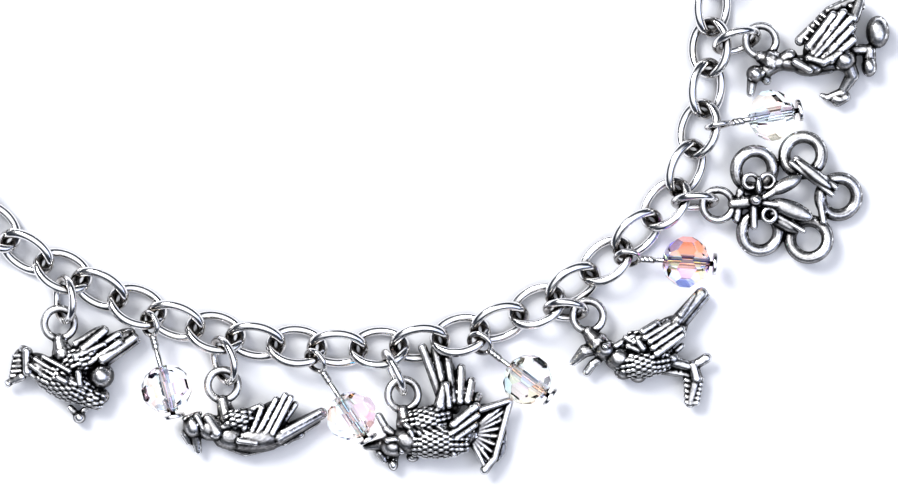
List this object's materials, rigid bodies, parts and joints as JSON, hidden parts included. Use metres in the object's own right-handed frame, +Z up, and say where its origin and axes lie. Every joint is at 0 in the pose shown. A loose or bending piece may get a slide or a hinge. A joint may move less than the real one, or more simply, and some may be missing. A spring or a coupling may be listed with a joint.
{
  "type": "charm bracelet",
  "caption": "charm bracelet lying in a whole loop: oval cable chain with cast bird and ring charms on jump rings and round faceted crystals on head pins",
  "frame": {"origin": "middle of the whole outline seen from above, on the surface the bracelet lies on", "axes": "+Z up, +X along the longest extent of the loop, +Y across it"},
  "size_m": [0.0828, 0.0674, 0.0043],
  "materials": {
    "chain_silver": "bright silver plate on round wire",
    "antique_silver": "cast pewter, silver plated and blackened in its recesses",
    "crystal": "clear cut glass with a thin aurora coating"
  },
  "bodies": {
    "root": {"link_01": "chain_silver", "link_02": "chain_silver", "link_03": "chain_silver", "link_04": "chain_silver", "link_05": "chain_silver", "link_06": "chain_silver", "link_07": "chain_silver", "link_08": "chain_silver", "link_09": "chain_silver", "link_10": "chain_silver", "link_11": "chain_silver", "link_12": "chain_silver", "link_13": "chain_silver", "link_14": "chain_silver", "link_15": "chain_silver", "link_16": "chain_silver", "link_17": "chain_silver", "link_18": "chain_silver", "link_19": "chain_silver", "link_20": "chain_silver", "link_21": "chain_silver", "link_22": "chain_silver", "link_23": "chain_silver", "link_24": "chain_silver", "chain_section_1": "chain_silver", "chain_section_2": "chain_silver", "chain_section_3": "chain_silver", "chain_section_4": "chain_silver", "clasp": "chain_silver", "clasp_ring": "chain_silver", "charm_partridge": "antique_silver", "jump_ring_partridge": "chain_silver", "charm_dove": "antique_silver", "jump_ring_dove": "chain_silver", "charm_hen": "antique_silver", "jump_ring_hen": "chain_silver", "charm_calling_bird": "antique_silver", "jump_ring_calling_bird": "chain_silver", "charm_five_rings": "antique_silver", "jump_ring_five_rings": "chain_silver", "charm_goose": "antique_silver", "jump_ring_goose": "chain_silver", "crystal_1": "crystal", "head_pin_1": "chain_silver", "crystal_2": "crystal", "head_pin_2": "chain_silver", "crystal_3": "crystal", "head_pin_3": "chain_silver", "crystal_4": "crystal", "head_pin_4": "chain_silver", "crystal_5": "crystal", "head_pin_5": "chain_silver"}
  },
  "joints": []
}
